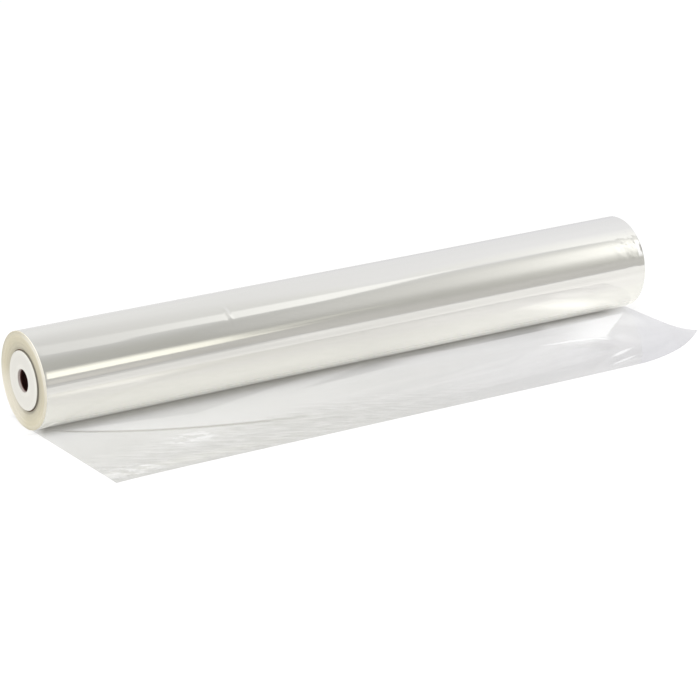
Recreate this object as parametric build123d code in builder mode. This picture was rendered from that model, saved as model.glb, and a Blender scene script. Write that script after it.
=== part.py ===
"""Roll of clear film on a cardboard core, with a moulded plug in each end and its free leaf drawn out flat.

The roll lies on its side. The origin is on the roll's axis at the middle of its length, +X runs along the
axis, +Z is up, and the leaf is drawn out towards -Y. All sizes are in millimetres.
"""

import os
from math import cos, hypot, radians, sin, sqrt, tan

from build123d import *

# Film: the web's width, the wound roll's size and how its edges are laid
film_width = 500.0
roll_diameter = 68.3
wound_depth = 12.65
rim_radius = 0.6
turn_groups = 4
turn_group_step = 0.25
turn_group_share = 0.5

# Film: the flat spot under the roll, and the leaf that is drawn out in front of it
flat_spot_width = 8.0
leaf_thickness = 0.5
leaf_length = 120.0
leaf_skew_deg = 2.6
leaf_side_shift = 1.2

# Film: the leaf's front right corner, cut in a sweep and curled up off the table
corner_sweep = 70.5
corner_setback = 27.3
curl_turn_deg = 20.0
curl_from_tip = 22.0
curl_rise = 4.2

# Cardboard core
core_wall = 2.5
core_recess = 1.5

# Moulded end plugs
flange_clearance = 0.75
flange_thickness = 2.4
flange_edge_radius = 0.5
spindle_hole = 16.2
spigot_clearance = 0.1
spigot_wall = 2.0
spigot_length = 16.0
spigot_lead_in = 0.8

# Sizes that follow from those above: the film is wound on the core, and the plugs fit in the core and the film
roll_radius = roll_diameter / 2
core_radius = roll_radius - wound_depth
core_bore = 2 * (core_radius - core_wall)
core_length = film_width - 2 * core_recess
flange_diameter = 2 * (core_radius - flange_clearance)
floor_drop = sqrt(roll_radius**2 - (flat_spot_width / 2) ** 2)
skew = tan(radians(leaf_skew_deg))

# Corners of the leaf, seen from above
left_back = (-film_width / 2 + leaf_side_shift, 0)
left_front = (left_back[0] + skew * leaf_length, -leaf_length)
right_back = (left_back[0] + film_width, 0)
tip = (right_back[0] + skew * (leaf_length - corner_setback), corner_setback - leaf_length)
sweep_start = (tip[0] - corner_sweep, -leaf_length)

# The corner curls about a line on the table, square to this direction and this far back from the tip
curl_heading = (cos(radians(curl_turn_deg)), -sin(radians(curl_turn_deg)))
curl_origin = (tip[0] - curl_from_tip * curl_heading[0], tip[1] - curl_from_tip * curl_heading[1])
curl_radius = (curl_from_tip**2 + curl_rise**2) / (2 * curl_rise)
sheet_reach = hypot(film_width, leaf_length) + curl_from_tip
curl_sweep_deg = 30.0
curl_plane = Plane(
    origin=(curl_origin[0], curl_origin[1], -floor_drop),
    x_dir=(curl_heading[0], curl_heading[1], 0),
    z_dir=(curl_heading[1], -curl_heading[0], 0),
)

# The leaf: a thin sheet, flat on the table and curled at one corner, trimmed to its outline
with BuildPart() as leaf:
    with BuildSketch(curl_plane):
        with BuildLine():
            under_flat = Line((-sheet_reach, 0), (0, 0))
            under_curl = CenterArc((0, curl_radius), curl_radius, -90, curl_sweep_deg)
            over_flat = Line((-sheet_reach, leaf_thickness), (0, leaf_thickness))
            over_curl = CenterArc((0, curl_radius), curl_radius - leaf_thickness, -90, curl_sweep_deg)
            Line(under_flat @ 0, over_flat @ 0)
            Line(under_curl @ 1, over_curl @ 1)
        make_face()
    extrude(amount=sheet_reach, both=True)
    with BuildSketch(Plane.XY.offset(-floor_drop)):
        with BuildLine():
            Line(left_back, left_front)
            front_edge = Line(left_front, sweep_start)
            TangentArc(sweep_start, tip, tangent=front_edge % 1)
            Polyline(tip, right_back, left_back)
        make_face()
    extrude(amount=roll_radius, mode=Mode.INTERSECT)

# The film: one web, its wound turns a ring with rounded rims, a flat spot under it and the leaf in front
with BuildPart() as film:
    with BuildSketch(Plane.XY) as wound_section:
        with Locations((0, core_radius + wound_depth / 2)):
            Rectangle(film_width, wound_depth)
        fillet(wound_section.vertices().group_by(Axis.Y)[-1], rim_radius)
    revolve(axis=Axis.X)

    # Groups of turns that wandered sideways in winding leave shallow rings in both ends
    group_pitch = (wound_depth - rim_radius) / turn_groups
    for side in (-1, 1):
        with BuildSketch(Plane.YZ.offset(side * film_width / 2)):
            for group in reversed(range(turn_groups)):
                inner_radius = core_radius + group * group_pitch
                Circle(inner_radius + turn_group_share * group_pitch)
                Circle(inner_radius, mode=Mode.SUBTRACT)
        extrude(amount=-side * turn_group_step, mode=Mode.SUBTRACT)

    split(bisect_by=Plane.XY.offset(-floor_drop), keep=Keep.TOP)
    add(leaf.part)
film.part.label = "film"

# The core: a plain cardboard tube, a little shorter than the film is wide
with BuildPart() as core:
    with BuildSketch(Plane.YZ):
        Circle(core_radius)
        Circle(core_bore / 2, mode=Mode.SUBTRACT)
    extrude(amount=core_length / 2, both=True)
core.part.label = "core_tube"


def end_plug(side, label):
    """A moulded plug: a flange with a spindle hole seats on the core's end, and a hollow spigot fills its bore."""
    seat = Plane(origin=(side * core_length / 2, 0, 0), x_dir=(0, 1, 0), z_dir=(side, 0, 0))
    spigot_radius = core_bore / 2 - spigot_clearance
    with BuildPart() as plug:
        with BuildSketch(seat):
            Circle(flange_diameter / 2)
        extrude(amount=flange_thickness)
        outer_face = plug.faces().sort_by(Axis(seat.origin, seat.z_dir))[-1]
        fillet(outer_face.edges(), flange_edge_radius)

        with BuildSketch(seat):
            Circle(spigot_radius)
        extrude(amount=-spigot_length)
        inner_face = plug.faces().sort_by(Axis(seat.origin, seat.z_dir))[0]
        chamfer(inner_face.edges(), spigot_lead_in)

        with BuildSketch(seat):
            Circle(spigot_radius - spigot_wall)
        extrude(amount=-spigot_length, mode=Mode.SUBTRACT)

        with BuildSketch(seat):
            Circle(spindle_hole / 2)
        extrude(amount=flange_thickness, mode=Mode.SUBTRACT)
    plug.part.label = label
    return plug.part


left_plug = end_plug(-1, "left_end_plug")
right_plug = end_plug(1, "right_end_plug")

os.makedirs("parts", exist_ok=True)
export_step(film.part, "parts/film.step")
export_step(core.part, "parts/core_tube.step")
export_step(left_plug, "parts/left_end_plug.step")
export_step(right_plug, "parts/right_end_plug.step")
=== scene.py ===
"""Looks of the film roll: wound turns, the leaf drawn out in front, core, end plugs and a small studio.

Everything is in metres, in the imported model's frame: +X along the roll's axis, +Z up, the leaf towards -Y.
"""

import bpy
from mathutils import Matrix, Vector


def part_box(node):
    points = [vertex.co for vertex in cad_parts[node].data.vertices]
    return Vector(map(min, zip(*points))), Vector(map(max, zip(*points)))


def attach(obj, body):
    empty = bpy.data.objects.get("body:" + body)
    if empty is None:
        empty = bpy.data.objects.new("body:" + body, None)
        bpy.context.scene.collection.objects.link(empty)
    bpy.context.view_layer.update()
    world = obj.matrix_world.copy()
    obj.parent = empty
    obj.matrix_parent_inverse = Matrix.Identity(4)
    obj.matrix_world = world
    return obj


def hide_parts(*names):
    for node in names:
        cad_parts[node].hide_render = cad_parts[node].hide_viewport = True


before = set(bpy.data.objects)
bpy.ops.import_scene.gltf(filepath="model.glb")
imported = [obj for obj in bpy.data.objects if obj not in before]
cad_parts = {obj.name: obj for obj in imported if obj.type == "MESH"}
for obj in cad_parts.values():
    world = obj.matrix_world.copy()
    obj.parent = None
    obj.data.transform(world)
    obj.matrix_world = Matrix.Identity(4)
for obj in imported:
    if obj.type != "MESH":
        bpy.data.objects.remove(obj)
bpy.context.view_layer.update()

import math
from dataclasses import dataclass

import bpy
import numpy as np
from bpy.props import FloatProperty, FloatVectorProperty, IntProperty, PointerProperty
from mathutils import Vector, noise

bl_info = {
    "name": "Film Roll",
    "version": (1, 0, 0),
    "blender": (4, 5, 0),
    "location": "View3D > Sidebar > Film Roll",
    "description": "Builds a roll of clear film with a drawn-out leaf around its packed model",
    "category": "Object",
}

MM = 0.001

# How fully the leaf's swept corner is rounded: 1 is a straight cut
SWEEP_POWER = 1.7

# The crease across the leaf, in millimetres: its start, how far forward it runs, and how slowly it turns
CREASE_START = (-241, 12.8)
CREASE_RUN = 92
CREASE_REACH = 119

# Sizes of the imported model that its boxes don't give
CORE_RECESS = 1.5 * MM
FLANGE_THICKNESS = 2.4 * MM
HOLE_RADIUS = 8.1 * MM

# Where the plug's finish changes, out from its axis: at the flange's edge and in the hollow spigot
FLANGE_EDGE = 20.4 * MM
SPIGOT_BORE = 17.2 * MM

# The studio
FLOOR_SIZE = 14
KEY_PLACE = (-0.3, -0.4, 1.6)
KEY_SIZE = 1.6
SENSOR_MM = 36

film_low, film_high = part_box("film")
core_low, core_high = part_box("core_tube")
floor_level = film_low.z


# Properties that a user would change


def a_length(name, description, default):
    """A property that holds a length."""
    return FloatProperty(name=name, description=description, default=default, unit="LENGTH")


def an_angle(name, description, degrees):
    """A property that holds an angle, which is given in degrees."""
    return FloatProperty(name=name, description=description, default=math.radians(degrees), subtype="ANGLE")


def a_colour(name, description, default):
    """A property that holds a colour."""
    return FloatVectorProperty(name=name, description=description, default=default, subtype="COLOR")


def a_number(name, description, default):
    """A property that holds a plain number."""
    return FloatProperty(name=name, description=description, default=default)


class TurnSizes(bpy.types.PropertyGroup):
    """Sizes of the wound turns of film."""

    width: a_length(
        "Film width",
        "Width of the film, which is the length of the roll",
        core_high.x - core_low.x + 2 * CORE_RECESS,
    )
    radius: a_length("Roll radius", "Radius of the outermost turn", film_high.z)
    bore_radius: a_length("Bore radius", "Radius of the innermost turn, which lies on the core", core_high.z)
    rim_radius: a_length("Rim radius", "Rounding of the outer turns at both ends", 0.6 * MM)
    ring_depth: a_length("Ring depth", "How far groups of turns stand back from the ends", 0.22 * MM)
    ring_groups: IntProperty(
        name="Ring groups",
        description="Number of groups of turns that wandered sideways in winding",
        default=4,
    )
    sides: IntProperty(name="Sides", description="Number of faces around the roll", default=256)
    slack: a_length("Slack", "Height of the slow waves in the outermost turns", 0.12 * MM)
    dish: a_length("Dish", "How far the outer turns stand out at the left end", 0.7 * MM)
    right_dish: a_length("Right dish", "How far the outer turns stand out at the right end", 0.3 * MM)
    flare: a_length("Flare", "How much larger the loose right end is", 0.45 * MM)
    crinkle: a_length("Crinkle", "Height of the crinkles at the loose right edge", 0.09 * MM)
    nick: a_length("Nick", "Height of the pinched spot on the barrel", 0.20 * MM)


class LeafSizes(bpy.types.PropertyGroup):
    """Sizes of the leaf that is drawn out in front of the roll."""

    length: a_length("Leaf length", "How far the leaf's front lies ahead of the axis", -film_low.y)
    skew: an_angle("Skew", "Angle by which the leaf runs off square", 2.6)
    side_shift: a_length("Side shift", "How far the leaf has slid along the roll", 1.2 * MM)
    left_slip: a_length("Left slip", "How far the left edge has slipped outwards at the front", 1.5 * MM)
    right_bow: a_length("Right bow", "How far the right edge bows inwards", 1.1 * MM)
    corner_dip: a_length("Corner dip", "How far the front left corner reaches ahead", 1.8 * MM)
    corner_sweep: a_length("Corner sweep", "Width of the swept cut at the front right corner", 76 * MM)
    corner_setback: a_length("Corner setback", "How far the swept cut runs back on the right", 27.3 * MM)
    curl_turn: an_angle("Curl turn", "Heading of the curled corner, from +X towards the front", 28)
    curl_reach: a_length("Curl reach", "Distance from the corner's tip to where it lies flat", 22 * MM)
    curl_rise: a_length("Curl rise", "Height of the corner's tip above the table", 4.2 * MM)
    thickness: a_length("Thickness", "Thickness of the leaf as it is drawn", 0.08 * MM)
    swell: a_length("Swell", "Height of the slack between the roll and the crease", 1.2 * MM)
    ripple: a_length("Ripple", "Height of the long ripples", 0.12 * MM)


class FinishColours(bpy.types.PropertyGroup):
    """Colours of the film, the plugs and the core."""

    film: a_colour("Film", "Silvery grey of many clear turns on top of each other", (0.85, 0.843, 0.80))
    edge_outer: a_colour("Outer cut edges", "Cream of the cut edges near the rim", (0.745, 0.685, 0.505))
    edge_inner: a_colour("Inner cut edges", "Darker cream of the edges near the core", (0.60, 0.555, 0.42))
    # The rim's colour is a painted highlight, laid strongest on the rim's upper front and on the front of
    # the outermost turns
    rim_painted_highlight: a_colour("Rim", "Pale cream of the rim where light comes through", (0.97, 0.93, 0.82))
    leaf: a_colour("Leaf", "Grey of the single layer of film", (0.512, 0.506, 0.456))
    plug: a_colour("Plug", "Warm white of the moulded plugs", (0.87, 0.85, 0.785))
    board: a_colour("Core board", "Brown of the cardboard core", (0.32, 0.15, 0.10))


class StudioSettings(bpy.types.PropertyGroup):
    """Camera and light."""

    view_azimuth: an_angle("View azimuth", "Direction that the camera looks in, from +Y", -32.118)
    view_elevation: an_angle("View elevation", "How steeply the camera looks down", 19.416)
    view_distance: a_length("View distance", "Distance from the camera to the point it looks at", 2.04366)
    view_target: FloatVectorProperty(
        name="View target",
        description="The point that the camera looks at",
        default=(2.6 * MM, -10.97 * MM, -22.23 * MM),
        subtype="XYZ",
    )
    lens: a_number("Lens", "Focal length in millimetres, on a sensor 36 mm wide", 146.33)
    sky: a_number("Sky", "Brightness of the studio all around", 0.85)
    key: a_number("Key light", "Power of the soft light overhead, in watts", 14.0)
    floor_white: a_number("Floor white", "How much diffuse light the floor returns to the roll", 0.80)
    floor_shade: a_number("Floor shade", "How much of the floor's own light and shade shows", 0.25)
    floor_glow: a_number("Floor glow", "White that the floor shows without lighting the roll", 0.78)
    tent_length: a_length("Tent length", "Length of the light tent along the roll", 7.0)
    tent_radius: a_length("Tent radius", "Radius of the light tent that is mirrored in the film", 1.3)


# Shader maths as expressions


def math_operator(operation, reflected=False):
    """A method of Value that adds one Math node."""

    def add_node(value, *others):
        terms = (*others, value) if reflected else (value, *others)
        return value.finish.maths(operation, *terms)

    return add_node


class Value:
    """A shader socket whose expressions add the Math nodes that they need."""

    __add__ = math_operator("ADD")
    __radd__ = math_operator("ADD", reflected=True)
    __sub__ = math_operator("SUBTRACT")
    __rsub__ = math_operator("SUBTRACT", reflected=True)
    __mul__ = math_operator("MULTIPLY")
    __rmul__ = math_operator("MULTIPLY", reflected=True)
    __truediv__ = math_operator("DIVIDE")
    __pow__ = math_operator("POWER")
    __abs__ = math_operator("ABSOLUTE")

    def __init__(self, finish, socket):
        self.finish = finish
        self.socket = socket


class Finish:
    """A material under construction."""

    def __init__(self, name):
        self.material = bpy.data.materials.new(name)
        self.material.use_nodes = True
        self.tree = self.material.node_tree
        self.tree.nodes.clear()
        self.output = self.tree.nodes.new("ShaderNodeOutputMaterial")

    def node(self, kind, settings, inputs, out):
        """Add a node with its settings and its inputs by name or number, and give one output."""
        made = self.tree.nodes.new(kind)
        for name, setting in settings.items():
            setattr(made, name, setting)
        for key, value in inputs.items():
            if isinstance(value, Value):
                self.tree.links.new(value.socket, made.inputs[key])
            else:
                made.inputs[key].default_value = value
        return Value(self, made.outputs[out])

    def several(self, kind, settings, inputs, outs):
        """Add a node and give several of its outputs."""
        made = self.node(kind, settings, inputs, outs[0]).socket.node
        return [Value(self, made.outputs[out]) for out in outs]

    def maths(self, operation, *terms):
        """Add one Math node."""
        return self.node("ShaderNodeMath", {"operation": operation}, dict(enumerate(terms)), "Value")

    def mix(self, share, first, second):
        """Mix two colours by a share."""
        colours = [value if isinstance(value, Value) else (*value, 1.0) for value in (first, second)]
        return self.node("ShaderNodeMix", {"data_type": "RGBA"}, {0: share, 6: colours[0], 7: colours[1]}, 2)

    def layered(self, base, *layers):
        """Lay colours over a base one by one, each given as its share and its colour."""
        for share, colour in layers:
            base = self.mix(share, base, colour)
        return base

    def step(self, value, low, high):
        """Rise smoothly from 0 at low to 1 at high."""
        inputs = {"Value": value, "From Min": low, "From Max": high}
        return self.node("ShaderNodeMapRange", {"interpolation_type": "SMOOTHSTEP"}, inputs, "Result")

    def band(self, value, rise, fall):
        """Rise smoothly over one range and fall back over another."""
        return self.step(value, *rise) * (1 - self.step(value, *fall))

    def places(self):
        """The point on the piece, as a vector and as x, y and z."""
        point = self.node("ShaderNodeTexCoord", {}, {}, "Object")
        return point, *self.several("ShaderNodeSeparateXYZ", {}, {"Vector": point}, "XYZ")

    def patch(self, across, forward, middle, reach):
        """A soft round patch: 1 at its middle, 0 beyond its reach."""
        distance = ((across - middle[0]) / reach[0]) ** 2 + ((forward - middle[1]) / reach[1]) ** 2
        return 1 - self.step(distance, 0.0, 1.0)

    def stretched(self, point, scale):
        """The point scaled differently along each axis."""
        return self.node("ShaderNodeVectorMath", {"operation": "MULTIPLY"}, {0: point, 1: scale}, "Vector")

    def grain(self, point, scale, detail, roughness):
        """Noise from 0 to 1."""
        inputs = {"Vector": point, "Scale": scale, "Detail": detail, "Roughness": roughness}
        return self.node("ShaderNodeTexNoise", {}, inputs, "Fac")

    def slanted(self, x, y):
        """A flat point for noise that runs another way than the piece does."""
        return self.node("ShaderNodeCombineXYZ", {}, {"X": x, "Y": y}, "Vector")

    def bump(self, height, strength, distance):
        """A normal that follows a height."""
        inputs = {"Height": height, "Strength": strength, "Distance": distance}
        return self.node("ShaderNodeBump", {}, inputs, "Normal")

    def plastic(self, **inputs):
        """Finish with a Principled shader: underscores in the names stand for spaces."""
        named = {key.replace("_", " ").title(): value for key, value in inputs.items()}
        return self.done(self.node("ShaderNodeBsdfPrincipled", {}, named, "BSDF"))

    def diffuse(self, white):
        """A plain diffuse shader of a grey."""
        return self.node("ShaderNodeBsdfDiffuse", {}, {"Color": (white, white, white, 1.0)}, "BSDF")

    def done(self, shader):
        """Send the shader to the output and give the material."""
        self.tree.links.new(shader.socket, self.output.inputs["Surface"])
        return self.material


def scaled(colour, share):
    """A colour made darker or paler by a share."""
    return [min(1.0, share * part) for part in colour]


# Mesh helpers


def pick(piece):
    """Select one object alone and make it the active one."""
    bpy.ops.object.select_all(action="DESELECT")
    piece.select_set(True)
    bpy.context.view_layer.objects.active = piece


def added(operator, name, **options):
    """Add an object with an operator, which also selects it alone, and name it."""
    operator(**options)
    bpy.context.object.name = name
    return bpy.context.object


def read_points(piece):
    """All the vertices of a piece as rows of x, y and z."""
    points = np.empty(len(piece.data.vertices) * 3)
    piece.data.vertices.foreach_get("co", points)
    return points.reshape(-1, 3)


def write_points(piece, points):
    """Move all the vertices of a piece."""
    piece.data.vertices.foreach_set("co", points.ravel())
    piece.data.update()


def smooth_step(values, low, high):
    """Rise smoothly from 0 at low to 1 at high."""
    share = np.clip((values - low) / (high - low), 0, 1)
    return share * share * (3 - 2 * share)


def smooth_band(values, rise, fall):
    """Rise smoothly over one range and fall back over another."""
    return smooth_step(values, *rise) * (1 - smooth_step(values, *fall))


def noise_at(x, y, z):
    """Smooth noise between -1 and 1 at many points."""
    return np.array([noise.noise(Vector(point)) for point in zip(x, y, z)])


def new_grid(name, columns, rows):
    """A flat square grid, 1 m wide, and its points."""
    grid = added(bpy.ops.mesh.primitive_grid_add, name, x_subdivisions=columns, y_subdivisions=rows, size=1)
    return grid, read_points(grid)


def turn_outline(name, outline, sides):
    """Draw an outline of (x, radius) points one vertex at a time, and spin it about the X axis."""
    x, radius = outline[0]
    piece = added(bpy.ops.mesh.primitive_plane_add, name, size=MM, location=(x, 0, radius))
    bpy.ops.object.transform_apply(location=True, rotation=True, scale=True)
    bpy.ops.object.mode_set(mode="EDIT")
    bpy.ops.mesh.select_all(action="SELECT")
    bpy.ops.mesh.merge(type="CENTER")
    for (x, radius), (next_x, next_radius) in zip(outline, outline[1:]):
        move = (next_x - x, 0, next_radius - radius)
        bpy.ops.mesh.extrude_vertices_move(TRANSFORM_OT_translate={"value": move})
    bpy.ops.mesh.select_all(action="SELECT")
    bpy.ops.mesh.spin(steps=sides, angle=math.tau, center=(0, 0, 0), axis=(1, 0, 0))
    bpy.ops.mesh.select_all(action="SELECT")
    bpy.ops.mesh.remove_doubles(threshold=0.01 * MM)
    bpy.ops.mesh.normals_make_consistent(inside=False)
    bpy.ops.object.mode_set(mode="OBJECT")
    return piece


# The wound turns


def barrel_stations(half, rim, fine_zones):
    """Places along the barrel from left to right, closer together where the film is crumpled."""
    coarse_step = 2.8 * MM
    fine_step = 0.8 * MM
    stations = [-half + rim]
    while stations[-1] < half - rim:
        here = stations[-1]
        fine = any(low <= here <= high for low, high in fine_zones)
        stations.append(here + (fine_step if fine else coarse_step))
    stations[-1] = half - rim
    return stations


def end_rings(sizes):
    """The end of the turns from the core outwards, as (setback, radius): rings of turns, then the rim."""
    ring_step = 0.35 * MM
    stagger = 0.05 * MM
    rim_steps = 10
    rings_top = sizes.radius - sizes.rim_radius
    bore = sizes.bore_radius
    count = round((rings_top - bore) / ring_step)
    pitch = (rings_top - bore) / sizes.ring_groups
    rings = []
    for number in range(count + 1):
        radius = bore + (rings_top - bore) * number / count
        place = (radius - bore) / pitch % 1
        recess = sizes.ring_depth if place < 0.5 else 0
        wander = stagger * (1 + noise.noise(Vector((radius / ring_step, 0, 0))))
        rings.append((recess + wander, radius))
    for number in range(1, rim_steps + 1):
        turn = math.pi / 2 * number / rim_steps
        setback = sizes.rim_radius * (1 - math.cos(turn))
        rings.append((setback, rings_top + sizes.rim_radius * math.sin(turn)))
    return rings


def barrel_relief(sizes, x, turn):
    """How far the outermost turn stands off a cylinder, at x and at an angle from the front to the top."""
    around_y = np.cos(turn)
    around_z = np.sin(turn)
    waves = noise_at(x * 7, around_y * 1.3, around_z * 1.3)
    streaks = noise_at(x * 2.5, around_y * 9, around_z * 9)
    relief = sizes.slack * (1 + waves + 0.1 * streaks) + sizes.flare * smooth_step(x, 60 * MM, 250 * MM)

    # A pinched spot on the upper front
    nick_x = -103 * MM
    nick_turn = math.radians(52)
    along = (x - nick_x) / (2.0 * MM)
    across = (turn - nick_turn) / math.radians(9)
    pinch = np.exp(-(along**2) - across**2)
    relief = relief + sizes.nick * pinch * np.cos(1.5 * along + 1.2 * across)

    # Crinkles where the right edge of the outermost turn is loose
    rise = (math.radians(6), math.radians(20))
    fall = (math.radians(52), math.radians(72))
    loose = smooth_step(x, 216 * MM, 243 * MM) * smooth_band(turn, rise, fall)
    folds = noise_at(x * 170 + turn * 3, turn * 8, np.full_like(x, 3.0))
    folds = folds + 0.5 * noise_at(x * 330, turn * 19, np.full_like(x, 6.0))
    relief = relief + sizes.crinkle * loose * folds

    # A bead of trapped air low on the right
    bead_x = 220 * MM
    bead_turn = math.radians(-8)
    bead_height = 0.07 * MM
    along = (x - bead_x) / (1.3 * MM)
    across = (turn - bead_turn) / math.radians(2)
    return relief + bead_height * np.exp(-(along**2) - across**2)


class FILMROLL_OT_wind_turns(bpy.types.Operator):
    """Wind the turns of film on the core"""

    bl_idname = "film_roll.wind_turns"
    bl_label = "Wind turns"

    def execute(self, context):
        """Spin the roll's section, let the outermost turn slacken, and flatten the roll where it lies."""
        sizes = context.scene.film_turns
        half = sizes.width / 2
        rings = end_rings(sizes)
        fine_zones = [(-114 * MM, -92 * MM), (206 * MM, half)]
        stations = barrel_stations(half, sizes.rim_radius, fine_zones)
        outline = [(-half + setback, radius) for setback, radius in rings]
        outline += [(x, sizes.radius) for x in stations[1:-1]]
        outline += [(half - setback, radius) for setback, radius in reversed(rings)]
        outline.append(outline[0])
        turns = turn_outline("film_turns", outline, sizes.sides)

        points = read_points(turns)
        x, y, z = points.T
        distance = np.hypot(y, z)
        turn = np.arctan2(z, -y)
        outside = smooth_step(distance, sizes.radius - sizes.rim_radius, sizes.radius)
        swollen = 1 + outside * barrel_relief(sizes, x, turn) / distance
        outwards = smooth_step(np.abs(x), half - 2 * MM, half - 1 * MM)
        outwards = outwards * np.where(x < 0, -sizes.dish, sizes.right_dish)
        outer_share = np.clip((distance - sizes.bore_radius) / (sizes.radius - sizes.bore_radius), 0, 1)
        points[:, 0] = x + outwards * outer_share
        points[:, 1] = y * swollen
        above_leaf = floor_level + 0.2 * MM
        points[:, 2] = np.maximum(z * swollen, above_leaf)
        write_points(turns, points)

        pick(turns)
        bpy.ops.object.shade_smooth_by_angle(angle=math.radians(40))
        turns.data.materials.append(wound_film(context.scene))
        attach(turns, "root")
        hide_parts("film")
        return {"FINISHED"}


def wound_film(scene):
    """Clear film in many turns: silvery and glossy outside, cream on the cut edges at the ends, with painted
    light and shade on the ends and at the loose right edge.
    """
    sizes = scene.film_turns
    colours = scene.film_colours
    half = sizes.width / 2
    finish = Finish("wound_film")
    step = finish.step
    point, x, y, z = finish.places()
    radius = finish.maths("SQRT", y * y + z * z)
    left_edge = half + sizes.dish
    right_edge = half + sizes.right_dish
    outer = sizes.radius
    bore = sizes.bore_radius
    end = step(-1 * x, left_edge - 1.2 * MM, left_edge - 0.4 * MM)
    end = end + step(x, right_edge - 0.4 * MM, right_edge - 0.2 * MM)
    inner_face = 1 - step(radius, outer - 2 * MM, outer - 1 * MM)
    end = finish.maths("MAXIMUM", end, inner_face)

    pale_ring = (0.78, 0.72, 0.57)
    rim_painted_shade = (0.65, 0.61, 0.49)
    painted_floor_light = (0.93, 0.88, 0.76)
    deep_shade = (0.15, 0.13, 0.095)
    lip_painted_highlight = (0.95, 0.945, 0.93)
    gap_painted_shade = (0.34, 0.32, 0.29)

    # Cut edges: paler towards the rim, a painted highlight where the light comes through, and painted shade
    # beside the plug
    depth = step(radius, bore, outer - 2 * MM)
    rings = finish.grain(finish.slanted(radius * 2600, x * 40), 1.0, 3.0, 0.6)
    lit = step((z - y) / radius, 0.85, 1.38)
    rim = step(radius, outer - 4.5 * MM, outer - 2 * MM)
    front = 0.5 - 0.5 * y / radius
    outermost = step(radius, outer - 3.2 * MM, outer - 1.2 * MM)
    foremost = step(-1 * y / radius, 0.75, 1.0)
    floor_lit = step((y - z) / radius, 0.8, 1.4)
    shade = 1 - step(radius, bore + 0.2 * MM, bore + 2.8 * MM)
    # Also painted by place: shade on the outermost turns, most at the back, and across the front; a
    # highlight on the front of the outermost turns; light from the floor low at the back
    cream = finish.layered(
        finish.mix(depth, colours.edge_inner, colours.edge_outer),
        (0.3 * step(rings, 0.45, 0.7), pale_ring),
        (rim * (0.1 + 0.9 * lit), colours.rim_painted_highlight),
        (outermost * (0.62 - 0.42 * front), rim_painted_shade),
        (0.11 * foremost, deep_shade),
        (0.36 * outermost * foremost, colours.rim_painted_highlight),
        (floor_lit * (0.6 + 0.25 * outermost), painted_floor_light),
        (shade * (0.04 + 0.64 * front), deep_shade),
    )

    # Barrel: faint lengthwise streaks in the colour and the gloss
    streaks = finish.grain(finish.stretched(point, (3, 90, 90)), 1.0, 2.0, 0.5)
    silver = finish.mix(streaks, scaled(colours.film, 0.97), colours.film)

    # Loose edge of the outermost turn on the right: a painted highlight on its lip, and painted shade in the
    # gap under it
    turn = finish.maths("ARCTAN2", z, -1 * y) * math.degrees(1)
    lip = finish.band(x, (245.0 * MM, 246.4 * MM), (248.8 * MM, 249.6 * MM))
    lip = lip * finish.band(turn, (20, 26), (38, 46))
    gap = step(x, 247.8 * MM, 248.8 * MM) * finish.band(turn, (25, 30), (35, 40))
    return finish.plastic(
        base_color=finish.layered(silver, (lip, lip_painted_highlight), (0.85 * gap, gap_painted_shade), (end, cream)),
        metallic=0.68 * (1 - end) * (1 - 0.9 * lip) * (1 - 0.5 * gap),
        roughness=0.05 + 0.05 * streaks + end * 0.38,
        normal=finish.bump(rings * end, 0.25, 0.1 * MM),
    )


# The leaf

# Patches of small puckers on the leaf: the middle and the reach, across and forward in millimetres
leaf_puckers = (
    ((-165, 77), (25, 12)),
    ((-226, 108), (34, 12)),
)

# Painted highlights on folds of the leaf: the middle and the reach, and how the fold slants
leaf_glints = (
    ((185.5, 93), (15, 2.6), 0.38),
    ((176, 107.5), (17, 2.2), 0.28),
    ((166, 54), (26, 1.8), -0.16),
    ((191, 61.5), (5, 1.6), -0.8),
)

# Hazier and clearer patches of the leaf: the change of its haze, the middle and the reach
leaf_haze = (
    (0.05, (55, 55), (120, 24)),
    (0.04, (-235, 60), (60, 32)),
    (0.045, (-35, 85), (135, 21)),
    (0.06, (182, 77), (12, 12)),
    (-0.05, (206, 70), (9, 15)),
    (-0.07, (232, 34), (16, 22)),
)


def leaf_outline(sizes, width, across, along):
    """Where a point of the leaf lies: across runs from its left edge to its right, along to its front."""
    beyond = np.clip(across * width - (width - sizes.corner_sweep), 0, None)
    trimmed = sizes.corner_setback * (beyond / sizes.corner_sweep) ** SWEEP_POWER
    forward = along * (sizes.length - trimmed)
    forward = forward + sizes.corner_dip * along**3 * np.exp(-across * width / (25 * MM))
    sideways = -width / 2 + sizes.side_shift + across * width + forward * math.tan(sizes.skew)
    sideways = sideways - sizes.left_slip * (0.4 + 0.6 * along) * (1 - across) ** 4
    sideways = sideways - sizes.right_bow * np.sin(math.pi * along**1.5) * across**4
    return sideways, -forward


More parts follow.
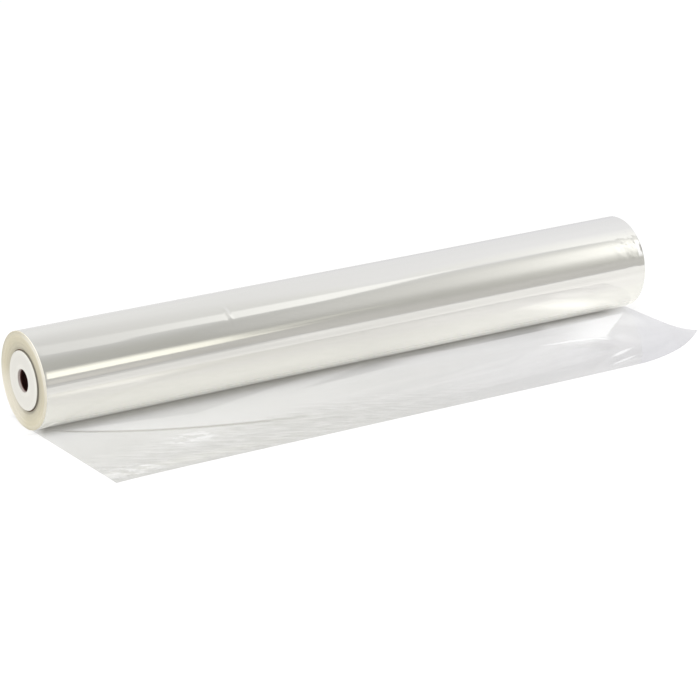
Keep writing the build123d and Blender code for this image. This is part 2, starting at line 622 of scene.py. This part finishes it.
def leaf_height(sizes, tip, x, y):
    """How far the leaf stands off the table."""
    forward = -y

    # The corner curls up, more and more to its tip
    heading = (math.cos(sizes.curl_turn), -math.sin(sizes.curl_turn))
    past = (x - tip[0]) * heading[0] + (y - tip[1]) * heading[1] + sizes.curl_reach
    height = sizes.curl_rise * (np.maximum(past, 0) / sizes.curl_reach) ** 2.4

    # Slack behind a crease that sweeps from the left nip to the middle of the front
    past_start = np.maximum(x / MM - CREASE_START[0], 0)
    crease = MM * (CREASE_START[1] + CREASE_RUN * (1 - np.exp(-past_start / CREASE_REACH)))
    behind = np.clip((crease - forward) / crease, 0, 1)
    lift = smooth_band(x, (-245 * MM, -190 * MM), (-60 * MM, 60 * MM))
    height = height + sizes.swell * lift * np.sin(math.pi * behind) * (1 - 0.6 * behind)

    # Long ripples, none at the nip
    free = smooth_step(forward, 6 * MM, 40 * MM)
    ripples = noise_at(x * 9 + y * 6, y * 26 - x * 4, np.zeros_like(x))
    height = height + free * sizes.ripple * (1 + ripples)

    # Small puckers in patches
    pucker_height = 0.12 * MM
    pucker = noise_at(x * 95, y * 150, np.full_like(x, 5.0))
    for middle, reach in leaf_puckers:
        sideways = (x / MM - middle[0]) / reach[0]
        ahead = (forward / MM - middle[1]) / reach[1]
        height = height + pucker_height * np.exp(-(sideways**2) - ahead**2) * (1 + pucker)

    # Folds that run towards the curled corner
    fold_height = 0.7 * MM
    fold_centre = (168 * MM, -78 * MM)
    from_x = x - fold_centre[0]
    from_y = y - fold_centre[1]
    near = np.exp(-((from_x / (48 * MM)) ** 2) - (from_y / (34 * MM)) ** 2)
    folds = noise_at(from_x * 16 + from_y * 10, from_y * 55 - from_x * 18, np.full_like(x, 9.0))
    return height + fold_height * near * (1 - np.abs(2 * folds)).clip(0) * free


class FILMROLL_OT_lay_leaf(bpy.types.Operator):
    """Lay the drawn-out leaf of film on the table"""

    bl_idname = "film_roll.lay_leaf"
    bl_label = "Lay leaf"

    def execute(self, context):
        """Cut a grid to the leaf's outline, ripple it, curl its corner and give it its thickness."""
        sizes = context.scene.film_leaf
        width = context.scene.film_turns.width
        leaf, points = new_grid("film_leaf", columns=300, rows=84)
        across = points[:, 0] + 0.5
        along = 0.5 - points[:, 1]
        x, y = leaf_outline(sizes, width, across, along)
        tip = leaf_outline(sizes, width, np.array([1.0]), np.array([1.0]))
        height = leaf_height(sizes, (tip[0][0], tip[1][0]), x, y)
        clearance = 0.02 * MM
        lowest = floor_level + 0.55 * sizes.thickness + clearance
        write_points(leaf, np.column_stack([x, y, lowest + height]))

        pick(leaf)
        solidify = leaf.modifiers.new("film thickness", "SOLIDIFY")
        solidify.thickness = sizes.thickness
        solidify.offset = 0
        bpy.ops.object.modifier_apply(modifier=solidify.name)
        bpy.ops.object.shade_smooth_by_angle(angle=math.radians(60))
        leaf.data.materials.append(clear_leaf(context.scene))
        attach(leaf, "root")
        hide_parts("film")
        return {"FINISHED"}


def crease_mark(finish, across, forward):
    """Where the leaf's crease shows: sharp behind it, soft in front of it, and fading to the right."""
    straight = finish.maths("EXPONENT", (across - CREASE_START[0]) / -CREASE_REACH)
    past = forward - (CREASE_START[1] + CREASE_RUN * (1 - straight))
    return finish.band(past, (-2.0, -0.3), (0.4, 4.4)) * (1 - finish.step(across, -128, -62))


def clear_leaf(scene):
    """One layer of clear film: see-through, hazier to the front, and more of a mirror at a flat angle."""
    colours = scene.film_colours
    finish = Finish("clear_leaf")
    step = finish.step
    point, x, y, _ = finish.places()
    across = x / MM
    forward = y / -MM
    facing = finish.node("ShaderNodeLayerWeight", {}, {"Blend": 0.5}, "Facing")
    clouds = finish.grain(finish.stretched(point, (14, 40, 14)), 1.0, 3.0, 0.5)
    haze = 0.155 + 0.0017 * forward + 0.05 * (clouds - 0.5)
    for change, middle, reach in leaf_haze:
        haze = haze + change * finish.patch(across, forward, middle, reach)

    # The crease that sweeps from the left nip to the middle of the front
    haze = haze + 0.32 * crease_mark(finish, across, forward) * step(across, -240, -225)

    # Right of the folds the film lies smooth, and just left of that it is made clearest, a patch of painted
    # light
    smooth_from = finish.maths("MAXIMUM", 264.5 - 1.17 * forward, 203 - 0.1 * forward)
    smooth = step(across - smooth_from, -1, 3)
    painted_bright_patch = (1 - smooth) * step(across, 150, 256.5 - 1.17 * forward)
    painted_bright_patch = painted_bright_patch * finish.band(forward, (19, 25), (55, 67))
    haze = haze - 0.19 * painted_bright_patch

    # Painted highlights where the puckers catch the light, and along the folds
    along = 0.89 * across + 0.455 * forward
    aslant = 0.89 * forward - 0.455 * across
    pucker = step(finish.grain(finish.slanted(along / 12, aslant / 6), 1.0, 3.0, 0.6), 0.44, 0.58)
    for middle, reach in leaf_puckers:
        haze = haze - 0.15 * pucker * finish.patch(across, forward, middle, reach)
    for middle, reach, slope in leaf_glints:
        haze = haze - 0.22 * finish.patch(across, forward + slope * (across - middle[0]), middle, reach)

    # Small slanting wrinkles over the front left, and long flat streaks right of them
    wrinkles = finish.grain(finish.slanted(along / 15, aslant / 3.6), 1.0, 3.0, 0.55) - 0.5
    haze = haze + 0.32 * wrinkles * finish.patch(across, forward, (-120, 102), (220, 46))
    flat = finish.slanted(across / 140, (across + 9 * forward) / 115)
    streaks = step(finish.grain(flat, 1.0, 2.0, 0.5), 0.35, 0.7)
    haze = haze - 0.05 * streaks * finish.patch(across, forward, (70, 82), (150, 38))

    haze = finish.maths("MAXIMUM", haze, 0.02)
    cool_grey = (0.51, 0.503, 0.53)
    return finish.plastic(
        base_color=finish.mix(step(across, -120, 215), colours.leaf, cool_grey),
        metallic=0.3,
        roughness=0.06,
        alpha=finish.maths("MINIMUM", haze * (0.55 + 3.3 * facing**5), 1.0),
    )


# The core and the plugs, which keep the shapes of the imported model


class FILMROLL_OT_finish_core(bpy.types.Operator):
    """Give the core its cardboard"""

    bl_idname = "film_roll.finish_core"
    bl_label = "Finish core"

    def execute(self, context):
        """Put the cardboard on the core's node."""
        dress_node("core_tube", core_board(context.scene))
        return {"FINISHED"}


class FILMROLL_OT_finish_plugs(bpy.types.Operator):
    """Give the end plugs their moulded plastic"""

    bl_idname = "film_roll.finish_plugs"
    bl_label = "Finish plugs"

    def execute(self, context):
        """Put the plastic on both plugs' nodes."""
        plastic = moulded_plastic(context.scene)
        for name in ("left_end_plug", "right_end_plug"):
            dress_node(name, plastic)
        return {"FINISHED"}


def dress_node(name, material):
    """Put one material in all the slots of a node."""
    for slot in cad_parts[name].material_slots:
        slot.material = material


def core_board(scene):
    """Spiral-wound brown board: fibres, and the faint line of the spiral's seam."""
    board = scene.film_colours.board
    finish = Finish("core_board")
    point, x, y, z = finish.places()
    fibres = finish.grain(finish.stretched(point, (180, 900, 900)), 1.0, 4.0, 0.6)
    around = finish.maths("ARCTAN2", z, y) / math.tau
    spiral = finish.maths("FRACT", around + x / (75 * MM))
    seam = 1 - finish.step(abs(spiral - 0.5), 0.0, 0.02)
    colour = finish.mix(fibres, scaled(board, 0.7), scaled(board, 1.25))
    colour = finish.mix(0.5 * seam, colour, scaled(board, 0.5))
    return finish.plastic(
        base_color=colour,
        roughness=0.8 + 0.15 * fibres,
        normal=finish.bump(fibres - seam, 0.4, 0.15 * MM),
    )


def moulded_plastic(scene):
    """Satin white plastic with the fine grain of its mould and a little uneven gloss, and painted light and
    shade.
    """
    white = scene.film_colours.plug
    finish = Finish("moulded_plastic")
    step = finish.step
    point, x, y, z = finish.places()
    grain = finish.grain(point, 2600.0, 2.0, 0.5)
    clouds = finish.grain(point, 90.0, 3.0, 0.55)
    radius = finish.maths("SQRT", y * y + z * z)
    depth = core_high.x + FLANGE_THICKNESS - abs(x)
    # Painted by place: a highlight on the flange's upper front (lip), a darker ring of painted shade across
    # the face (hollow), and painted shade in the groove round the flange, on the hole's wall and deep in the
    # spigot
    lip = step(radius, 18.0 * MM, FLANGE_EDGE) * step((z - y) / radius, 0.6, 1.3)
    hollow = finish.band(radius, (10.5 * MM, 12 * MM), (16.5 * MM, 18.5 * MM))
    groove = step(radius, FLANGE_EDGE, FLANGE_EDGE + 0.3 * MM) * step(depth, 0.35 * MM, 0.6 * MM)
    bore = (1 - step(radius, HOLE_RADIUS, HOLE_RADIUS + 0.2 * MM)) * step(depth, 0.1 * MM, 0.4 * MM)
    inside = (1 - step(radius, SPIGOT_BORE, SPIGOT_BORE + 0.4 * MM)) * step(depth, 1.7 * MM, 2.0 * MM)
    sunlit = (0.95, 0.935, 0.86)
    groove_painted_shade = (0.12, 0.10, 0.07)
    bore_shade = (0.72, 0.60, 0.57)
    inside_painted_shade = (0.17, 0.045, 0.035)
    colour = finish.layered(
        finish.mix(clouds, scaled(white, 0.95), scaled(white, 1.03)),
        (lip, sunlit),
        (0.65 * hollow, scaled(white, 0.94)),
        (0.75 * groove, groove_painted_shade),
        (0.7 * bore, bore_shade),
        (0.96 * inside, inside_painted_shade),
    )
    return finish.plastic(
        base_color=colour,
        roughness=0.30 + 0.16 * clouds,
        normal=finish.bump(grain, 0.12, 0.05 * MM),
    )


# The studio


def camera_place(studio):
    """Where the camera stands."""
    level = math.cos(studio.view_elevation)
    across = math.sin(studio.view_azimuth) * level
    back = -math.cos(studio.view_azimuth) * level
    towards = Vector((across, back, math.sin(studio.view_elevation)))
    return Vector(studio.view_target) + studio.view_distance * towards


def mirrored_in_roll(studio, radius, x, turn):
    """The point of the tent that the camera sees in the roll at x, at an angle up from the front."""
    normal = np.stack([np.zeros_like(turn), -np.cos(turn), np.sin(turn)], axis=-1)
    place = radius * normal
    place[..., 0] = x
    view = place - np.array(camera_place(studio))
    view = view / np.linalg.norm(view, axis=-1, keepdims=True)
    ray = view - 2 * np.sum(view * normal, axis=-1, keepdims=True) * normal
    flat_ray = np.sum(ray[..., 1:] ** 2, axis=-1)
    inward = np.sum(ray[..., 1:] * place[..., 1:], axis=-1)
    reach = (np.sqrt(inward**2 + flat_ray * (studio.tent_radius**2 - radius**2)) - inward) / flat_ray
    return place + reach[..., None] * ray


@dataclass
class TentPanel:
    """A soft panel of the light tent, given by where the roll mirrors it to the camera.

    Each station is a place along the roll in millimetres, the lower and upper edge of the mirrored panel in
    degrees up from the roll's front, and the panel's brightness there.
    """

    name: str
    stations: list
    tint: tuple = (1, 1, 1)
    low_fade: float = 0.2
    high_fade: float = 0.2
    end_fade: float = 0.02

    columns = 96
    rows = 24
    layer_gap = 0.004

    def hang(self, studio, radius, layer, cloth):
        """Make the panel, in front of those with a lower layer."""
        panel, points = new_grid(self.name, self.columns, self.rows)
        across = points[:, 0] + 0.5
        up = points[:, 1] + 0.5
        stations, low, high, glow = np.array(self.stations).T
        x = stations[0] + across * (stations[-1] - stations[0])
        low = np.interp(x, stations, low)
        high = np.interp(x, stations, high)
        turn = np.radians(low + up * (high - low))
        places = mirrored_in_roll(studio, radius, x * MM, turn)
        places[:, 1:] *= 1 - self.layer_gap * layer
        write_points(panel, places)

        cover = fade(up, self.low_fade) * fade(1 - up, self.high_fade)
        cover = cover * fade(across, self.end_fade) * fade(1 - across, self.end_fade)
        brightness = np.interp(x, stations, glow)
        hang_cloth(panel, np.column_stack([np.outer(brightness, self.tint), cover]), cloth)


def fade(share, width):
    """Rise smoothly from 0 at an edge to 1 at a width."""
    if width <= 0:
        return np.ones_like(share)
    return smooth_step(share, 0, width)


def hang_cloth(panel, glow, cloth):
    """Give a panel its glow point by point, so that it shows only in glossy surfaces and stops no light."""
    colours = panel.data.color_attributes.new("glow", "FLOAT_COLOR", "POINT")
    colours.data.foreach_set("color", glow.ravel())
    panel.data.materials.append(cloth)
    for kind in ("camera", "diffuse", "transmission", "volume_scatter", "shadow"):
        setattr(panel, "visible_" + kind, False)


def tent_cloth():
    """Cloth of the tent: it glows as the panel's own colour says and fades out to its edges."""
    finish = Finish("tent_cloth")
    glow, cover = finish.several("ShaderNodeAttribute", {"attribute_name": "glow"}, {}, ("Color", "Alpha"))
    light = finish.node("ShaderNodeEmission", {}, {"Color": glow, "Strength": 1.0}, "Emission")
    gap = finish.node("ShaderNodeBsdfTransparent", {}, {}, "BSDF")
    return finish.done(finish.node("ShaderNodeMixShader", {}, {0: cover, 1: gap, 2: light}, "Shader"))


tent_panels = (
    TentPanel("upper_dim", [
        (-290, 54, 80, 0.53), (-230, 54, 80, 0.55), (-120, 53, 74, 0.63),
        (-60, 52.5, 68, 0.67), (0, 52, 62, 0.77),
    ], low_fade=0.05, high_fade=0.85),
    TentPanel("upper_glow", [
        (40, 52.4, 62, 0.8), (120, 52.3, 66, 0.9), (180, 50.6, 66.5, 1.04),
        (230, 48.6, 64.5, 1.1), (290, 47.4, 64.5, 1.12),
    ], low_fade=0.05, high_fade=0.9),
    TentPanel("upper_strip", [
        (-290, 45.9, 60, 0.62), (-210, 43.6, 57.2, 0.7), (-193, 43.8, 56.6, 0.72),
        (-182, 46.5, 56.3, 0.74), (-150, 46.6, 55.6, 0.83), (-120, 45.8, 55, 0.9),
        (-103, 44.8, 54.6, 0.94), (-60, 44.6, 54.2, 1.01), (-33, 44.5, 53.9, 1.06),
        (17, 47.3, 53.5, 1.08), (67, 51, 52.9, 1.04), (85, 51.9, 52.7, 0.95),
    ], low_fade=0.06, high_fade=0.2),
    TentPanel("side_window", [
        (-160, 23, 45, 0.27), (-60, 22.5, 46, 0.42), (0, 21.5, 48.5, 0.5),
        (60, 21, 51.5, 0.6), (120, 20, 52, 0.81), (180, 20, 51.2, 1.13),
        (230, 19.7, 51.6, 1.44), (240, 18.4, 51.6, 1.48), (250, 15.8, 51.6, 1.51),
        (290, 14, 51.6, 1.56),
    ], tint=(1.0, 0.993, 0.96), low_fade=0.5, high_fade=0.35, end_fade=0.1),
    TentPanel("low_card", [
        (-290, 10.6, 16.6, 0.6), (-180, 10.6, 16.2, 0.53), (-140, 10.8, 15.6, 0.38),
        (-100, 11, 15, 0.36),
    ], tint=(1.0, 0.965, 0.91), low_fade=0.3, high_fade=0.3),
    TentPanel("front_strip", [
        (-290, 17.6, 27.4, 1.4), (-180, 17.8, 27.2, 1.32), (-130, 18.2, 26.9, 1.2),
        (-115, 18.6, 26.8, 0.94), (-100, 19.6, 26.7, 0.6), (-80, 21.2, 26.6, 0.54),
        (-60, 22.5, 26.5, 0.49), (-20, 24, 26.3, 0.45), (20, 24.6, 26, 0.4),
    ], tint=(1.0, 0.985, 0.88), low_fade=0.08, high_fade=0.5, end_fade=0.0),
    TentPanel("strip_tail", [
        (-128, 18.6, 21.6, 1.1), (-100, 19, 21.3, 0.98), (-80, 19.6, 21.4, 0.76),
        (-50, 20.2, 21.6, 0.5), (-15, 20.8, 21.8, 0.34),
    ], tint=(1.0, 0.98, 0.88), low_fade=0.25, high_fade=0.25, end_fade=0.3),
)

# Brightness of the tent's arch at angles up from the front horizon, over the top and down behind
tent_arch = (
    (0, 0.46), (10, 0.43), (18, 0.33), (34, 0.24), (42, 0.25), (50, 0.27), (58, 0.33), (66, 0.43),
    (74, 0.52), (79, 0.54), (80, 0.76), (98, 0.79), (106, 0.77), (160, 0.76), (172, 0.72), (190, 0.5),
    (360, 0.46),
)


def tent_glow(x, angle):
    """Colours of the tent's arch: dim in front, bright above, brighter to the right."""
    overhead = smooth_step(angle, 70, 90)
    rightward = np.clip((x - 0.75) / 0.3, -1, 1)
    glow = np.interp(angle, *np.array(tent_arch).T)
    glow = glow * (1 + overhead * rightward * (0.08 - 0.07 * smooth_step(angle, 110, 150)))
    glow = glow + 0.1 * smooth_step(angle, 166, 178) * (1 - smooth_step(x, 0.5, 0.8))
    glow = glow + 0.07 * smooth_step(x, 0.8, 1.05) * smooth_band(angle, (6, 14), (24, 34))

    # Away from what the roll mirrors to the camera, a dim cloth and a bright strip hang behind
    aside = 1 - smooth_step(x, 0.0, 0.18) + smooth_step(x, 1.2, 1.4)
    dim = smooth_band(angle, (114, 124), (146, 151))
    strip = smooth_band(angle, (152, 154), (160, 165))
    glow = glow + aside * (0.45 * strip - 0.34 * dim)

    # A dark line along the horizon, on the left
    skyline = 1 - smooth_step(np.abs((angle + 180) % 360 - 180), 0.8, 2.4)
    glow = glow - 0.17 * skyline * (1 - smooth_step(x, 0.45, 0.75))

    # Warmer low in front, cooler overhead
    low = 1 - smooth_step(angle, 12, 30)
    green = 1 - 0.015 * low - 0.012 * (1 - smooth_step(angle, 34, 50))
    blue = 1 + overhead * (0.045 + 0.02 * rightward)
    blue = blue - 0.12 * (1 - smooth_step(angle, 40, 70)) + 0.05 * low
    return np.column_stack([glow, glow * green, glow * blue, np.ones_like(glow)])


def floor_seen(finish, uneven, across, forward, past_ends):
    """How white the floor looks to the camera: painted shade under the roll, reaching less far to the right.
    """
    step = finish.step
    right_half = step(across, 35, 75)
    reach = 27.5 + 6 * uneven - 6 * right_half
    open_floor = finish.maths("MAXIMUM", step(abs(forward), 4 + 3 * right_half, reach), past_ends)

    # In front of the roll the painted shade ends in wedges, where the slack film leans
    left_end = finish.maths("MINIMUM", 19 + 0.196 * (across + 234), 38 - 0.229 * (across + 137))
    left_wedge = step(left_end - forward, -1.5, 3) * step(forward, 10, 16)
    middle_wedge = step(35.6 - 0.072 * (across + 59) - forward, -0.8, 1.5) * (1 - step(across, 15, 45))
    middle_wedge = middle_wedge * step(forward - 35.6 + 0.30 * (across + 59), -2, 5)
    right_end = finish.maths("MINIMUM", 21.6, 13.8 + 0.077 * across)
    right_wedge = step(forward, 12, 15) * step(right_end - forward, -1, 0.8)
    right_wedge = right_wedge * finish.band(across, (20, 50), (158, 174))
    deeper = 0.24 + 0.18 * step(across, 100, 140) * step(forward, 16.5, 20)
    wedges = 0.18 * left_wedge + 0.22 * middle_wedge + deeper * right_wedge
    return (0.25 + 0.75 * open_floor) * (1 - wedges)


def floor_mirrored(finish, across, forward, past_right):
    """Painted light in the floor as the roll mirrors it: brightest close by, and brighter to the right."""
    step = finish.step
    patch = finish.patch
    away = abs(forward)
    right = step(across, 10, 150)
    past_ends = finish.maths("MAXIMUM", step(0.9 * away - across, 234, 268), past_right)
    near = finish.maths("MAXIMUM", step(away, -1, 27 + 4 * right), past_ends)
    behind = finish.band(-1 * forward, (5, 40), (250, 500))
    white = 1.29 - 0.14 * step(away, 30, 70) - 0.20 * step(away, 108, 124)
    white = near * (white - 0.26 * step(away, 110, 165) - 0.30 * behind) + 0.18 * right

    # Painted reflections: bright in the nip and around the leaf's folds and crease, dim beside the leaf and
    # past its corner
    white = white + 0.16 * patch(across, away, (85, 0), (75, 40))
    white = white + 0.28 * patch(across, forward + 0.38 * (across - 190), (190, 40), (35, 12))
    white = white + 0.50 * patch(across, forward, (-165, 101), (66, 22))
    white = white + 0.16 * patch(across, forward, (212, 73), (19, 26))
    white = white + 0.46 * crease_mark(finish, across, forward)
    white = white - 0.24 * step(across, 249, 258) * (1 - step(away, 92, 112))
    white = white - 0.17 * step(across, 205, 240) * finish.band(forward, (98, 107), (116, 132))

    # Painted reflection far in front, where the roll mirrors what lies further to the right
    drift = across - 0.53 * forward
    white = white - 0.52 * step(forward, 340, 540) * (1 - step(drift, -140, 0))
    white = white - 0.09 * step(forward, 115, 150) * (1 - step(abs(drift - 35), 30, 85))
    return white + 0.09 * step(forward, 140, 200) * step(drift, 190, 250)


def floor_tint(finish, mirror, away, past_ends):
    """The floor's tint: white, warmer in the roll, and warmest in the shade under it."""
    mirrored = finish.mix(finish.step(away, 45, 65), (1.0, 0.998, 0.968), (1.0, 0.987, 0.985))
    open_floor = finish.mix(mirror, (1.0, 1.0, 1.0), mirrored)
    shaded = finish.mix(mirror, (1.0, 0.965, 0.88), (1.0, 0.985, 0.945))
    unshaded = finish.maths("MAXIMUM", finish.step(away, 5, 25), past_ends)
    return finish.mix(unshaded, shaded, open_floor)


def white_floor(studio):
    """White floor that glows for the camera and in reflections, with painted shade under the roll and
    painted light in what the roll mirrors, and only scatters light to the roll.
    """
    finish = Finish("studio_floor")
    point, x, y, _ = finish.places()
    ray_kinds = ("Is Camera Ray", "Is Glossy Ray", "Is Transmission Ray")
    camera, glossy, through = finish.several("ShaderNodeLightPath", {}, {}, ray_kinds)
    mirror = finish.maths("MINIMUM", glossy + through, 1.0)
    across = x / MM
    forward = y / -MM
    away = abs(forward)
    past_right = finish.step(1.3 * away + across, 230, 270)
    past_ends = finish.maths("MAXIMUM", finish.step(-1 * across, 237, 251), past_right)
    uneven = finish.grain(finish.stretched(point, (22, 0, 0)), 1.0, 1.0, 0.5)
    white = camera * floor_seen(finish, uneven, across, forward, past_ends)
    white = white + mirror * floor_mirrored(finish, across, forward, past_right)
    tint = floor_tint(finish, mirror, away, past_ends)
    inputs = {"Color": tint, "Strength": studio.floor_glow * white}
    glow = finish.node("ShaderNodeEmission", {}, inputs, "Emission")
    lit = finish.diffuse(studio.floor_white)
    seen = finish.node("ShaderNodeAddShader", {}, {0: finish.diffuse(studio.floor_shade), 1: glow}, "Shader")
    shader = finish.node("ShaderNodeMixShader", {}, {0: camera + mirror, 1: lit, 2: seen}, "Shader")
    return finish.done(shader)


class FILMROLL_OT_set_stage(bpy.types.Operator):
    """Set up the floor, the light tent, the lights and the camera"""

    bl_idname = "film_roll.set_stage"
    bl_label = "Set stage"

    def execute(self, context):
        """Build the studio around the roll."""
        scene = context.scene
        studio = scene.film_studio
        radius = scene.film_turns.radius
        self.lay_floor(studio)
        cloth = tent_cloth()
        self.raise_tent(studio, cloth)
        for layer, panel in enumerate(tent_panels, start=1):
            panel.hang(studio, radius, layer, cloth)
        self.light(scene, studio)
        self.place_camera(scene, studio)
        scene.view_settings.view_transform = "Standard"
        return {"FINISHED"}

    def lay_floor(self, studio):
        """A white floor with the roll's shadow, partly cast and partly painted."""
        place = (0, 0, floor_level)
        floor = added(bpy.ops.mesh.primitive_plane_add, "studio_floor", size=FLOOR_SIZE, location=place)
        floor.data.materials.append(white_floor(studio))

    def raise_tent(self, studio, cloth):
        """The tent's arch over the roll and down behind it."""
        tent, points = new_grid("light_tent", columns=70, rows=720)
        x = points[:, 0] * studio.tent_length
        rise = (points[:, 1] + 0.5) * math.tau
        around = studio.tent_radius * np.column_stack([-np.cos(rise), np.sin(rise)])
        write_points(tent, np.column_stack([x, around]))
        hang_cloth(tent, tent_glow(x, np.degrees(rise)), cloth)

    def light(self, scene, studio):
        """White all around, and one large soft light overhead."""
        world = bpy.data.worlds.new("studio")
        world.use_nodes = True
        background = world.node_tree.nodes["Background"].inputs
        background["Color"].default_value = (1, 1, 1, 1)
        background["Strength"].default_value = studio.sky
        scene.world = world
        key = added(bpy.ops.object.light_add, "key_light", type="AREA", location=KEY_PLACE)
        key.data.size = KEY_SIZE
        key.data.energy = studio.key
        key.visible_camera = False
        key.visible_glossy = False

    def place_camera(self, scene, studio):
        """A camera at the photograph's angle."""
        place = camera_place(studio)
        camera = added(bpy.ops.object.camera_add, "Camera", location=place)
        camera.rotation_euler = (place - Vector(studio.view_target)).to_track_quat("Z", "Y").to_euler()
        camera.data.lens = studio.lens
        camera.data.sensor_width = SENSOR_MM
        camera.data.sensor_fit = "AUTO"
        scene.camera = camera


# Add-on


class FILMROLL_PT_sidebar(bpy.types.Panel):
    """Steps and settings of the film roll"""

    bl_idname = "FILMROLL_PT_sidebar"
    bl_label = "Film Roll"
    bl_space_type = "VIEW_3D"
    bl_region_type = "UI"
    bl_category = "Film Roll"

    def draw(self, context):
        """List the steps, then the settings."""
        for step in steps:
            self.layout.operator(step.bl_idname)
        for name in settings:
            group = getattr(context.scene, name)
            box = self.layout.box()
            for key in group.bl_rna.properties.keys():
                if key not in ("rna_type", "name"):
                    box.prop(group, key)


settings = {
    "film_turns": TurnSizes,
    "film_leaf": LeafSizes,
    "film_colours": FinishColours,
    "film_studio": StudioSettings,
}
steps = (
    FILMROLL_OT_wind_turns,
    FILMROLL_OT_lay_leaf,
    FILMROLL_OT_finish_core,
    FILMROLL_OT_finish_plugs,
    FILMROLL_OT_set_stage,
)
classes = (*settings.values(), *steps, FILMROLL_PT_sidebar)


def register():
    """Register the classes and attach the settings to the scene."""
    for kind in classes:
        bpy.utils.register_class(kind)
    for name, group in settings.items():
        setattr(bpy.types.Scene, name, PointerProperty(type=group))


def unregister():
    """Undo what register did."""
    for name in settings:
        delattr(bpy.types.Scene, name)
    for kind in reversed(classes):
        bpy.utils.unregister_class(kind)


def main():
    """Build the roll step by step."""
    register()
    bpy.ops.film_roll.wind_turns()
    bpy.ops.film_roll.lay_leaf()
    bpy.ops.film_roll.finish_core()
    bpy.ops.film_roll.finish_plugs()
    bpy.ops.film_roll.set_stage()


if __name__ == "__main__":
    main()
